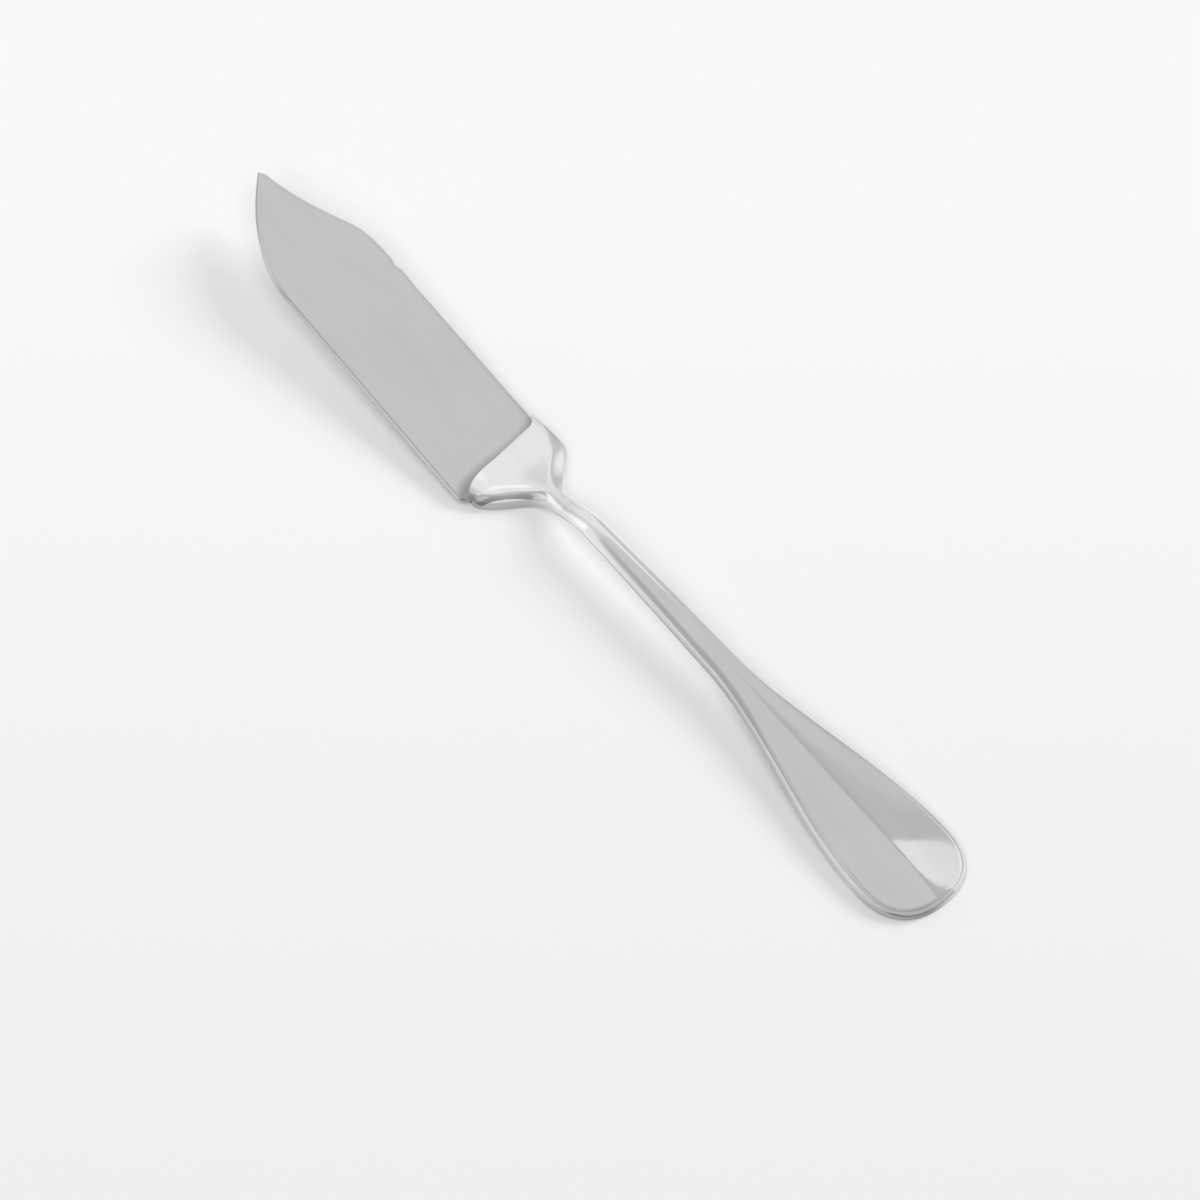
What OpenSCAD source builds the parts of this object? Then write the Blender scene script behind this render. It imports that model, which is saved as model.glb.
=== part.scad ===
// Fish knife, face up as it lies on a table. X runs along its length towards the blade's tip,
// Y towards the belly of the blade and Z up. The origin is the middle of the flat under the handle's
// end, on the table. Distances written as s are measured from the end of the handle.

/* [Handle] */
// Length from the rounded end to the joint at the neck
handle_l = 105; // [90:1:120]
// Width of the rounded end at its widest
end_w = 20.9; // [18:0.1:25]
// Length over which the end rounds to its full width
end_round_l = 10.5; // [8:0.5:14]
// Distance from the end to the middle of the flat that the handle rests on
end_reach = 5.5; // [5:0.5:7]
// Length of the flat that the handle rests on
rest_l = 9; // [7:0.5:10]
// Width across the waist, where the stem begins
waist_w = 6.4; // [5.5:0.1:9]
// Distance from the end to the waist
waist_s = 62; // [50:1:70]
// Width of the stem at the neck joint
neck_w = 4.6; // [4.2:0.1:5.2]
// Height of the underside at the crest of the arch
arch_rise = 5; // [3:0.1:7]
// Distance from the end to the crest of the arch
crest_s = 97; // [90:0.5:100]
// Height of the rim wall round the end
rim_end_h = 1.7; // [1.2:0.1:2.4]
// Height of the side wall at the neck
rim_neck_h = 1; // [0.8:0.1:1.6]
// Rise of the middle ridge over the rim on the wide part
crown_end_h = 1.1; // [0.4:0.05:1.6]
// Distance from the end over which the ridge falls to the rim
crown_l = 17; // [12:0.5:22]
// Rise of the top over the side wall at the neck
crown_neck_h = 1.3; // [1:0.1:2]
// Height that the underside's edges lift over the rest flat
under_end_h = 0.35; // [0.2:0.05:0.6]
// Depth of the rounded underside at the neck
under_neck_h = 1.1; // [0.8:0.1:1.8]

/* [Shoulder] */
// Length from the neck joint to the heel of the blade
shoulder_l = 15; // [13:0.5:20]
// Step from the stem out to the collar at the neck joint
collar_step = 0.05; // [0.05:0.05:0.5]
// Reach of the shoulder from the middle line to its spine side
shoulder_spine_w = 9.5; // [9:0.1:11]
// Reach of the shoulder from the middle line to its belly side
shoulder_belly_w = 12; // [10:0.1:13.5]
// Distance from the neck joint to where the underside comes down to the table
foot_l = 10; // [8:0.5:11]
// Thickness of the lip over the blade at the seam
lip_h = 0.55; // [0.4:0.05:0.9]
// Width of the rounding along the sides of the shoulder's top
side_round_w = 2.2; // [1:0.1:3]
// Drop of that rounding beside the neck
side_round_h = 2.3; // [0.4:0.1:2.4]
// Drop of that rounding at the seam
seam_round_h = 0.3; // [0.1:0.05:0.4]
// Thickness of the lip under the blade at the heel
lip_under_h = 0.8; // [0.7:0.05:1.3]
// Length of the lips over the blade at the middle line
lip_l = 4.4; // [4.2:0.1:6]
// Extra reach of the curved seam at the spine side, and the reach it loses at the belly side
seam_hook_l = 3.6; // [1:0.1:3.8]

/* [Blade] */
// Length of the blade from its heel to its tip
blade_l = 84.7; // [75:0.1:100]
// Thickness of the blade
blade_t = 1.3; // [1:0.05:1.6]
// Reach of the blade from the middle line to its straight spine
spine_w = 8.5; // [7:0.1:10]
// Reach of the blade from the middle line to its belly
belly_w = 14; // [11:0.1:15.5]
// Length of the pointed front of the blade
point_l = 28.2; // [24:0.1:34]
// Rise of the blade towards its tip, in degrees
blade_tilt = 7.4; // [5:0.1:9]
// Distance from the pointed front back to the notch in the spine
notch_back_l = 6.8; // [5:0.1:9]
// Depth of the notch in the spine
notch_h = 0.3; // [0.2:0.1:1]
// Length of the notch in the spine
notch_l = 2.6; // [2:0.1:4]
// Radius of the corner at the heel
heel_r = 2.4; // [1.5:0.1:4]
// Width of the bevel along the edges
bevel_w = 0.6; // [0.4:0.1:1.2]
// Thickness left at the edges
edge_t = 0.5; // [0.3:0.05:0.8]

/* [Joints] */
// Length of the tongue behind the heel of the blade
tongue_l = 3.4; // [2.5:0.1:4]
// Width of the tongue
tongue_w = 13; // [9:0.5:14]
// Diameter of the spigot on the handle
spigot_d = 2.2; // [1.8:0.1:2.6]
// Length of the spigot
spigot_l = 2.6; // [1.5:0.1:2.8]
// Thickness of the solder in both joints
solder_t = 0.12; // [0.08:0.01:0.2]

/* [Hidden] */

joint_x = handle_l - end_reach;
heel_x = joint_x + shoulder_l;
joint_s = handle_l;
heel_s = handle_l + shoulder_l;
foot_s = handle_l + foot_l;
rest_end_s = end_reach + rest_l / 2;

// Bluntness of the rounded end, as the power of its curve: 2 is an ellipse
end_power = 2.4;
// Powers of the domed top, from the ridged end to the rounded neck, and of the ridge's fall to the end
ridge_power = 1.35;
round_power = 2.2;
end_fall_power = 1.5;
// How much of the arch rises evenly from the end, where the rest of it eases in
arch_start_share = 0.4;
// Share of the half width that stays flat under the handle and the shoulder
flat_share = 0.55;

// Power of the curve that the sides of the shoulder's top fall away by
side_power = 1.7;
// How far the top of the upper lip and the underside of the lower lip curve away towards the sides, as
// shares of the thickness of each
lip_dome_share = 0.25;
lip_lift_share = 0.35;
// How steeply the shoulder's top leaves the neck and meets the seam, as shares of its mean slope
top_start_share = 2.1;
top_end_share = 0.5;
// Where the spine side and the belly side leave the collar and where both reach their full width, as
// shares of the shoulder's length
spine_flare_share = 0.21;
belly_flare_share = 0.31;
flare_end_share = 0.95;
// Reach of the spine side of the shoulder at the seam, as a share of its widest reach
seam_reach_share = 0.93;
// Slant of the seam's straight middle and power of its hooked ends
seam_slant_share = 0.35;
seam_power = 5;

// How far the tip lies from the middle line, as a share of the belly's reach
tip_reach_share = 0.07;
// Power of the curve that the belly falls away by towards the tip
belly_power = 1.95;
// The front of the spine from the hump in front of the notch towards the tip: distance along the point
// and reach from the middle line
spine_front_shares = [
    [0, 1], [0.115, 0.965], [0.23, 0.88], [0.356, 0.69], [0.46, 0.535],
    [0.565, 0.39], [0.69, 0.235], [0.837, 0.095], [0.952, 0]
];
// The notch: distance along it and depth, with the small swell of the spine behind it
notch_shares = [[-0.5, -0.35], [0, -0.35], [0.3, 0.4], [0.55, 0.8], [0.85, 0.4], [1.2, -0.1]];

// How many bevel widths from the tip the bevel fades out over
bevel_fade = 5;

// Counts of the grids that the curved pieces are made on
end_rings = 11;
stem_rings = 32;
shoulder_rings = 22;
across = 14;
belly_steps = 22;
smooth_steps = 3;
heel_steps = 5;
round_fn = 48;

// A smooth step from 0 to 1
function ease(t) = let (c = max(0, min(1, t))) c * c * (3 - 2 * c);
function mix(a, b, t) = a + (b - a) * t;

// Half width of the handle: a blunt ellipse at the end, a smooth taper to the waist, a straight stem
function handle_half(s) =
    s < end_round_l ? end_w / 2 * pow(1 - pow(1 - s / end_round_l, end_power), 1 / end_power)
    : s < waist_s ? mix(end_w, waist_w, ease((s - end_round_l) / (waist_s - end_round_l))) / 2
    : mix(waist_w, neck_w, (s - waist_s) / (handle_l - waist_s)) / 2;

// Height of the arch that starts at a distance from the end: up to the crest, then down to the foot
function rise(t) = let (c = max(0, min(1, t))) mix(ease(c), c * (2 - c), arch_start_share);
function arch(s, start_s) =
    s < crest_s ? arch_rise * rise((s - start_s) / (crest_s - start_s))
    : arch_rise * (1 - ease((s - crest_s) / (foot_s - crest_s)));

// How far along the change from the flat end to the round stem
function roundness(s) = ease((s - rest_end_s) / (waist_s - rest_end_s));
function under_h(s) = mix(under_end_h, under_neck_h, roundness(s));
function rim_h(s) = mix(rim_end_h, rim_neck_h, roundness(s));
function crown_h(s) =
    mix(crown_end_h, crown_neck_h, roundness(s))
    * (1 - pow(max(0, 1 - s / crown_l), end_fall_power));

// Lift of the underside at the share v of the half width: flat in the middle at b = 0, round at b = 1
function lift_share(v, b) =
    mix(pow(max(0, (abs(v) - flat_share) / (1 - flat_share)), 2), pow(abs(v), round_power), b);

function handle_bottom(s, v) = arch(s, rest_end_s) + under_h(s) * lift_share(v, roundness(s));
function handle_top(s, v) =
    arch(s, 0) + under_h(s) + rim_h(s)
    + crown_h(s) * (1 - pow(abs(v), mix(ridge_power, round_power, roundness(s))));

neck_top_z = handle_top(joint_s, 0);
neck_h = neck_top_z - arch(joint_s, 0);
spigot_z = arch(joint_s, 0) + neck_h / 2 - solder_t;
// The spigot points down along the neck, at the mean slope of the arch over its length
spigot_tilt = atan((arch(joint_s - spigot_l, 0) - arch(joint_s + spigot_l, 0)) / (2 * spigot_l));
// How far the solder stays back from the surface at both joints
solder_back = 4 * solder_t;
// Width of the solder between the two faces of the neck joint
neck_film_d = neck_h - solder_back;

// Shares of the half width across a ring, closer together near the edges
v_list = [for (j = [0:across]) -cos(180 * j / across)];

// Stations along the handle, closer together round the end
handle_stations = concat(
    [for (i = [1:end_rings]) end_round_l * (1 - cos(90 * i / end_rings))],
    [for (i = [1:stem_rings]) mix(end_round_l, handle_l, i / stem_rings)]
);

// Height of the blade's underside and top above the table, at a distance along the knife
function blade_bottom(s) = lip_under_h + (s - heel_s) * tan(blade_tilt);
function blade_top(s) = blade_bottom(s) + blade_t / cos(blade_tilt);

collar_w = neck_w + 2 * collar_step;

// Reach of the shoulder's sides from the middle line
function flare(s, start_share) =
    ease((s - joint_s - start_share * shoulder_l) / ((flare_end_share - start_share) * shoulder_l));
function spine_side(s) =
    mix(collar_w / 2, shoulder_spine_w, flare(s, spine_flare_share))
    * mix(1, seam_reach_share, ease((s - heel_s) / (lip_l + seam_hook_l)));
function belly_side(s) = mix(collar_w / 2, shoulder_belly_w, flare(s, belly_flare_share));
function side_y(s, v) = v < 0 ? v * spine_side(s) : v * belly_side(s);

// The seam's distance from the end of the handle, at the share v across: a slanted line with hooked ends
function seam_s(v) =
    heel_s + lip_l - seam_hook_l * (seam_slant_share * v + (1 - seam_slant_share) * pow(v, seam_power));

// Share of the way down from the collar to the seam: steep at first, still sloping at the seam
function settle(t) =
    top_start_share * t * pow(1 - t, 2) + t * t * (3 - 2 * t) - top_end_share * t * t * (1 - t);
// Share of the drop of a rounded side, at a distance in from the side
function side_round_share(inset) = pow(max(0, 1 - inset / side_round_w), side_power);

// Top and underside of the shoulder: from the collar down to the lips
function fall(s) = ease((s - joint_s) / (shoulder_l - blade_t));
function side_drop(s, v) =
    fall(s) * mix(side_round_h, seam_round_h, ease((s - foot_s) / (seam_s(v) - foot_s)));
function shoulder_top(s, v) =
    let (t = (s - joint_s) / (seam_s(v) - joint_s))
        mix(neck_top_z + collar_step, blade_top(seam_s(v)) + lip_h, settle(t))
        - mix(crown_neck_h, lip_dome_share * lip_h, fall(s)) * pow(abs(v), round_power)
        - side_drop(s, v) * side_round_share((1 - abs(v)) * abs(side_y(s, sign(v))));
// How far the underside is on its way from the round neck down to the flat foot
function foot_fall(s) = ease((s - joint_s) / foot_l);
function shoulder_bottom(s, v) =
    max(0, arch(s, 0) - collar_step * (1 - foot_fall(s)))
    + max(0, s - heel_s) * tan(blade_tilt)
    + mix(under_neck_h, lip_lift_share * lip_under_h, foot_fall(s)) * lift_share(v, 1 - foot_fall(s));

// A closed solid between two grids of points with the same rows and columns
module shell_between(top, bottom) {
    rows = len(top);
    cols = len(top[0]);
    n = rows * cols;
    points = concat([for (r = top) each r], [for (r = bottom) each r]);
    quads = concat(
        [for (i = [0:rows - 2], j = [0:cols - 2])
            [i * cols + j, (i + 1) * cols + j, (i + 1) * cols + j + 1, i * cols + j + 1]],
        [for (i = [0:rows - 2], j = [0:cols - 2])
            [n + i * cols + j + 1, n + (i + 1) * cols + j + 1, n + (i + 1) * cols + j, n + i * cols + j]],
        [for (i = [0:rows - 2]) [n + i * cols, n + (i + 1) * cols, (i + 1) * cols, i * cols]],
        [for (i = [0:rows - 2], e = [cols - 1])
            [i * cols + e, (i + 1) * cols + e, n + (i + 1) * cols + e, n + i * cols + e]],
        [for (j = [0:cols - 2]) [j, j + 1, n + j + 1, n + j]],
        [for (j = [0:cols - 2], f = [(rows - 1) * cols])
            [n + f + j, n + f + j + 1, f + j + 1, f + j]]
    );
    polyhedron(points, [for (q = quads) each [[q[2], q[1], q[0]], [q[3], q[2], q[0]]]]);
}

module handle() {
    color("gainsboro") {
        shell_between(
            [for (s = handle_stations) [for (v = v_list)
                [s - end_reach, v * handle_half(s), handle_top(s, v)]]],
            [for (s = handle_stations) [for (v = v_list)
                [s - end_reach, v * handle_half(s), handle_bottom(s, v)]]]
        );
        spigot(spigot_d, 2 * spigot_l);
    }
}

// A cylinder along the neck's slope, half of it on each side of the joint
module spigot(d, l) {
    translate([joint_x, 0, spigot_z])
        rotate([0, 90 + spigot_tilt, 0])
            cylinder(h = l, d = d, center = true, $fn = round_fn);
}

// The bore in the shoulder that the spigot and its solder fill
module spigot_bore() {
    spigot(spigot_d + 2 * solder_t, 2 * (spigot_l + solder_t));
}

module neck_seam_solder() {
    color("silver")
        difference() {
            union() {
                intersection() {
                    spigot_bore();
                    translate([joint_x, -neck_w / 2, 0])
                        cube([shoulder_l, neck_w, neck_top_z]);
                }
                translate([joint_x, 0, spigot_z])
                    rotate([0, 90, 0])
                        cylinder(h = solder_t, d = neck_film_d, $fn = round_fn);
            }
            spigot(spigot_d, 2 * spigot_l);
        }
}

// Puts a shape drawn in the blade's own plane where the blade lies: its heel line is X = 0 there
module on_blade_plane() {
    translate([heel_x, 0, lip_under_h])
        rotate([0, -blade_tilt, 0])
            children();
}

// The space in the shoulder for the blade's root, its tongue and the solder round them
module blade_slot() {
    on_blade_plane() {
        translate([-solder_t, -2 * spine_w, -solder_t])
            cube([2 * (lip_l + seam_hook_l), 2 * (spine_w + belly_w), blade_t + 2 * solder_t]);
        translate([-tongue_l - solder_t, -tongue_w / 2 - solder_t, -solder_t])
            cube([tongue_l + 2 * solder_t, tongue_w + 2 * solder_t, blade_t + 2 * solder_t]);
    }
}

module shoulder() {
    color("whitesmoke")
        difference() {
            shell_between(
                [for (i = [0:shoulder_rings]) [for (v = v_list)
                    let (s = mix(joint_s + solder_t, seam_s(v), i / shoulder_rings))
                        [s - end_reach, side_y(s, v), shoulder_top(s, v)]]],
                [for (i = [0:shoulder_rings]) [for (v = v_list)
                    let (s = mix(joint_s + solder_t, seam_s(v), i / shoulder_rings))
                        [s - end_reach, side_y(s, v), shoulder_bottom(s, v)]]]
            );
            spigot_bore();
            blade_slot();
        }
}

// The root of the blade as it lies between the lips, without bevels
module blade_root() {
    translate([0, -spine_w + bevel_w, 0])
        cube([lip_l + seam_hook_l, spine_w + belly_w - heel_r - bevel_w, blade_t]);
    translate([-tongue_l, -tongue_w / 2, 0])
        cube([2 * tongue_l, tongue_w, blade_t]);
}

// The solder stays behind the edge of the lips and inside the bevels of the blade
module blade_seam_solder() {
    color("silver")
        on_blade_plane()
            difference() {
                union() {
                    translate([0, 0, -solder_t])
                        linear_extrude(blade_t + 2 * solder_t)
                            polygon(concat(
                                [for (v = v_list) [seam_s(v) - heel_s - solder_back,
                                    v < 0 ? v * (spine_w - bevel_w) : v * (belly_w - heel_r)]],
                                [[-solder_t, belly_w - heel_r], [-solder_t, bevel_w - spine_w]]
                            ));
                    translate([-tongue_l - solder_t, -tongue_w / 2 - solder_t, -solder_t])
                        cube([tongue_l + 2 * solder_t, tongue_w + 2 * solder_t, blade_t + 2 * solder_t]);
                }
                blade_root();
            }
}

// A smooth curve through a list of points
function curve_point(a, b, c, d, t) =
    (2 * b + (c - a) * t + (2 * a - 5 * b + 4 * c - d) * t * t + (3 * b - a - 3 * c + d) * t * t * t) / 2;
function smooth(p, steps) = concat(
    [for (i = [0:len(p) - 2], k = [0:steps - 1])
        curve_point(p[max(0, i - 1)], p[i], p[i + 1], p[min(len(p) - 1, i + 2)], k / steps)],
    [p[len(p) - 1]]
);

// The blade's outline in its own plane, from the heel on the spine side round the tip
point_x = blade_l - point_l;
blade_tip = [blade_l, tip_reach_share * belly_w];
notch_x = point_x - notch_back_l;
blade_outline = concat(
    [[0, -spine_w], [notch_x - notch_l * 2, -spine_w]],
    smooth(concat(
        [for (q = notch_shares) [notch_x + q[0] * notch_l, -spine_w + q[1] * notch_h]],
        [for (q = spine_front_shares) [point_x + q[0] * point_l, -spine_w * q[1]]],
        [blade_tip]
    ), smooth_steps),
    [for (i = [1:belly_steps])
        let (t = 1 - i / belly_steps)
            [point_x + t * point_l, mix(belly_w, blade_tip[1], pow(t, belly_power))]],
    [for (i = [0:heel_steps])
        let (a = 90 * i / heel_steps)
            [heel_r * (1 - sin(a)), belly_w - heel_r * (1 - cos(a))]]
);

// The outline moved inwards by a distance that fades to nothing at the tip, along the mean of the two
// edges that meet at each point
function unit(v) = v / norm(v);
function inward(p, d, tip) = [for (i = [0:len(p) - 1])
    let (
        a = p[(i + len(p) - 1) % len(p)],
        c = p[(i + 1) % len(p)],
        t = unit(unit(p[i] - a) + unit(c - p[i])),
        fade = min(1, norm(p[i] - tip) / (bevel_fade * d))
    )
        p[i] + fade * d * [-t[1], t[0]]
];

// A plate with the same bevel on both faces
module bevelled_plate(outline, t, edge, bevel) {
    n = len(outline);
    inner = inward(outline, bevel, blade_tip);
    rings = [
        [for (p = inner) [p[0], p[1], 0]],
        [for (p = outline) [p[0], p[1], (t - edge) / 2]],
        [for (p = outline) [p[0], p[1], (t + edge) / 2]],
        [for (p = inner) [p[0], p[1], t]]
    ];
    polyhedron(
        [for (r = rings) each r],
        concat(
            [[for (i = [0:n - 1]) i]],
            [for (k = [0:2], i = [0:n - 1], m = [(i + 1) % n])
                each [[k * n + i, (k + 1) * n + i, (k + 1) * n + m], [k * n + i, (k + 1) * n + m, k * n + m]]],
            [[for (i = [n - 1:-1:0]) 3 * n + i]]
        )
    );
}

module blade() {
    color("silver")
        on_blade_plane() {
            bevelled_plate(blade_outline, blade_t, edge_t, bevel_w);
            translate([-tongue_l, -tongue_w / 2, 0])
                cube([2 * tongue_l, tongue_w, blade_t]);
        }
}

handle();
neck_seam_solder();
shoulder();
blade_seam_solder();
blade();
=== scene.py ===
"""A silver plated fish knife, lying face up on a pale table."""

import bmesh
import bpy
import numpy as np
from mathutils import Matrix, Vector


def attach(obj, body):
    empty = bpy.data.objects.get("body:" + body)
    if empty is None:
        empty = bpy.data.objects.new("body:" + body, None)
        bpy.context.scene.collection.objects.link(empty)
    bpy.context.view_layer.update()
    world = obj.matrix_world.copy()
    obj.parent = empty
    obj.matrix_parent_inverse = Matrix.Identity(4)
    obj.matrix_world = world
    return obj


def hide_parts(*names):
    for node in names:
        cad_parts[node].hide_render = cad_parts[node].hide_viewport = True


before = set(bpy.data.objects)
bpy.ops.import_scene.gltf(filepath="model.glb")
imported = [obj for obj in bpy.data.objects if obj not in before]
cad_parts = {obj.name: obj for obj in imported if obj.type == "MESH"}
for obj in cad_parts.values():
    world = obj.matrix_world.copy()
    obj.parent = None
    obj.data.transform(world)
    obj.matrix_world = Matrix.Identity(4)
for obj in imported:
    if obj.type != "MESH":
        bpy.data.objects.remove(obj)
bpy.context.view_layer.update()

# Sizes are in millimetres, as on a drawing of the knife, and MM turns them into the scene's metres.
# Distances written as s run along the knife from the end of the handle. A power says how blunt or how steep
# a curve is, and a share is a part of the size or the stretch that it belongs to.
MM = 0.001

# Handle
HANDLE_L = 105
END_W = 20.9
END_ROUND_L = 10.5
END_REACH = 5.5
REST_L = 9
WAIST_W = 6.4
WAIST_S = 62
NECK_W = 4.6
ARCH_RISE = 5
CREST_S = 97
RIM_END_H = 1.7
RIM_NECK_H = 1
CROWN_END_H = 1.1
CROWN_L = 17
CROWN_NECK_H = 1.3
UNDER_END_H = 0.35
UNDER_NECK_H = 1.1
END_POWER = 2.4
RIDGE_POWER = 1.35
ROUND_POWER = 2.2
END_FALL_POWER = 1.5
ARCH_START_SHARE = 0.4
FLAT_SHARE = 0.55
# The rim: a sloping band inside the outline with a fine groove along it, then a small rounded edge.
# The band and the groove fade out along the handle.
BAND_W = 1
BAND_DROP = 0.26
BAND_POWER = 1.3
GROOVE_W = 0.35
GROOVE_DROP = 0.1
BAND_FADE_S = (16, 60)
GROOVE_FADE_S = (9, 26)
EDGE_REACH = 0.6
EDGE_DROP = 0.9
UNDER_EDGE_REACH = 0.9
UNDER_EDGE_DROP = 0.5
# A slight extra fall of the top towards the end: where it fades out, and how deep it is
END_SCOOP_S = (4.5, 12.5)
END_SCOOP_H = 0.13
# Painted shade is the share of the metal's brightness that is taken off its colour. These give it at
# distances along the handle: on the wall of the rim, in the groove, where it is partly patina, as a painted
# dark line that the groove leaves further along, and as a painted dark line on the stem's band.
WALL_PAINTED_SHADE = ((0, 0.66), (5, 0.5), (9, 0.35), (13, 0.2), (28, 0.2), (40, 0.35), (55, 0.45), (70, 0.35),
                (85, 0.15), (97, 0))
GROOVE_PATINA_AND_PAINTED_SHADE = ((0, 0.4), (5, 0.25), (9, 0.06), (16, 0.02), (26, 0.06), (34, 0.13), (75, 0.11), (90, 0))
BAND_PAINTED_SHADE = ((31, 0), (42, 0.13), (75, 0.15), (92, 0))
GROOVE_PATINA_AND_PAINTED_SHADE_W = 1.4 * GROOVE_W
# The wall starts at this share of the rounded edge's width, and is full after a further share
WALL_START_SHARE = 0.25
WALL_FADE_SHARE = 0.3
# The painted shade fades from the belly side to the spine side between these distances from the middle
# line. The walls of the spine side keep a share of it, and the groove keeps it on both sides past the end.
PAINTED_SHADE_FADE_Y = (-4, 4)
SPINE_PAINTED_SHADE_SHARE = 0.3
GROOVE_BOTH_SIDES_S = (16, 26.5)

# Shoulder
SHOULDER_L = 15
COLLAR_STEP = 0.01
SHOULDER_SPINE_W = 9.5
SHOULDER_BELLY_W = 12
FOOT_L = 10
LIP_H = 0.55
SIDE_ROUND_W = 2.2
SPINE_ROUND_W = 4.4
SIDE_ROUND_H = 2.3
SIDE_POWER = 1.7
SEAM_ROUND_H = 0.3
TOP_START_SHARE = 2.1
TOP_END_SHARE = 0.5
LIP_UNDER_H = 0.8
LIP_DOME_SHARE = 0.25
LIP_LIFT_SHARE = 0.35
LIP_L = 4.4
SEAM_HOOK_L = 3.6
SPINE_FLARE_SHARE = 0.12
BELLY_FLARE_SHARE = 0.22
FLARE_END_SHARE = 0.95
FLARE_POWER = 1.35
SEAM_REACH_SHARE = 0.93
SEAM_SLANT_SHARE = 0.35
SEAM_POWER = 5
# The grid is finer past this share of the length and in this share of each half width
SEAM_GRID_START_SHARE = 0.92
SIDE_GRID_SHARE = 0.22
SIDE_UNDER_REACH = 0.8
SIDE_UNDER_DROP = 0.4
LIP_REACH = 0.3
LIP_DROP = 0.2
# Painted shade on the upper and lower part of its walls, which starts along the flare, and painted shade at
# the neck joint, where it fades over a length on each side
SIDE_PAINTED_SHADE = 0.18
FOOT_PAINTED_SHADE = 0.47
FOOT_PAINTED_SHADE_W = 1.1
SHOULDER_PAINTED_SHADE_S = (105, 114)
# Painted shade either side of the neck joint, which dims the reflections there
JOINT_PAINTED_SHADE = 0.12
JOINT_PAINTED_SHADE_L = 14
JOINT_PAINTED_SHADE_BACK = 4
SOLDER_T = 0.12
NECK_GAP = 0.01

# Blade
BLADE_L = 84.7
BLADE_T = 1.3
SPINE_W = 8.5
BELLY_W = 14
POINT_L = 28.2
BLADE_TILT = np.radians(7.4)
NOTCH_BACK_L = 6.8
NOTCH_H = 0.3
NOTCH_L = 2.6
HEEL_R = 2.4
BEVEL_W = 0.6
EDGE_T = 0.5
TONGUE_L = 3.4
TONGUE_W = 13
# Painted shade beside the seam, along both edges, more at the spine's corner next to the shoulder, and on the
# ground bevel, where it dims the bevel's bright reflection and grows towards the tip
SEAM_PAINTED_SHADE = 0.42
SEAM_PAINTED_SHADE_W = 2
SPINE_EDGE_PAINTED_SHADE = 0.2
BELLY_EDGE_PAINTED_SHADE = 0.08
EDGE_PAINTED_SHADE_W = 1.2
CORNER_PAINTED_SHADE = 0.2
CORNER_PAINTED_SHADE_L = 7
BEVEL_PAINTED_SHADE = 0.3
TIP_PAINTED_SHADE = 0.5
TIP_PAINTED_SHADE_X = (45, 64)
# Outline in front of the notch, as shares of the point's length and the spine's width, and the outline of
# the notch, as shares of its own length and depth
SPINE_FRONT_SHARES = [
    (0, 1), (0.115, 0.965), (0.23, 0.88), (0.356, 0.69), (0.46, 0.535),
    (0.565, 0.39), (0.69, 0.235), (0.837, 0.095), (0.952, 0),
]
NOTCH_SHARES = [(-0.5, -0.35), (0, -0.35), (0.3, 0.4), (0.55, 0.8), (0.85, 0.4), (1.2, -0.1)]
TIP_Y = 0.07 * BELLY_W
BELLY_POWER = 1.95

JOINT_S = HANDLE_L
HEEL_S = HANDLE_L + SHOULDER_L
FOOT_S = HANDLE_L + FOOT_L
REST_END_S = END_REACH + REST_L / 2

# Meshes: points nearer than the gap are merged, and edges past the angle are shaded sharp
MERGE_GAP = 0.0005
SHARP_ANGLE = np.radians(32)

# Metal: light and dark grey, roughness, and the turn of the scratches of each piece
HANDLE_POLISH = (0.94, 0.86, 0.05, 0.2)
SHOULDER_POLISH = (0.95, 0.88, 0.05, 0.5)
BLADE_POLISH = (0.94, 0.88, 0.09, 0.05)
# Patterns: repeats in a metre, lengthwise and across where there are three, and the finer layers in them
HAZE = (60, 3)
WAVES = (110, 1)
STREAKS = ((45, 260, 260), 3)
SCRATCHES = ((40, 2200, 2200), 2)
CROSS_SCRATCHES = ((60, 3000, 3000), 2)
GRAIN = (2500, 4)
LAYER_SHARE = 0.5
# Turns of the streaks, and of the crossing scratches from the others
STREAK_TURN = 0.12
CROSS_TURN = 1.1
# A pattern counts from nothing to in full between these values of its noise
HAZE_TONE_SPAN = (0.35, 0.7)
HAZE_ROUGHNESS_SPAN = (0.45, 0.75)
STREAK_SPAN = (0.4, 0.65)
SCRATCH_SPAN = (0.62, 0.8)
CROSS_SCRATCH_SPAN = (0.66, 0.82)
# How much of the tone each pattern gives, and how much roughness it adds
HAZE_TONE, STREAK_TONE, SCRATCH_TONE = 0.45, 0.4, 0.15
HAZE_ROUGHNESS, SCRATCH_ROUGHNESS = 0.05, 0.04
# Depth in metres and strength of the bumps
SCRATCH_BUMP = (0.000004, 0.25)
WAVE_BUMP = (0.00003, 1)
GRAIN_BUMP = (0.00002, 0.6)
# Solder, from the dark of its grain to the light
SOLDER_GREYS = (0.36, 0.55)
SOLDER_ROUGHNESS = (0.3, 0.6)

# Camera, in millimetres like the rest, and the focal length in pixels of a 1200 pixel frame
CAMERA_PLACE = (-177.9, 213.1, 486.7)
CAMERA_TARGET = (82.3, 6.4, 0)
FOCAL_PIXELS = 3182
FRAME_PIXELS = 1200
SENSOR_W = 36
# In metres, past the far edge of the table
CLIP_END = 100

# Lights on the table and the knife: directions towards the two lamps, how wide and how strong they are, and
# the strength of the soft light from all round
KEY_DIRECTION = (-0.3, -0.78, 0.55)
KEY_ANGLE = np.radians(30)
KEY_STRENGTH = 1.28
FILL_DIRECTION = (-0.4415, 0.3508, 0.8259)
FILL_ANGLE = np.radians(50)
FILL_STRENGTH = 1.48
SOFT_LIGHT = 0.39

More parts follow.
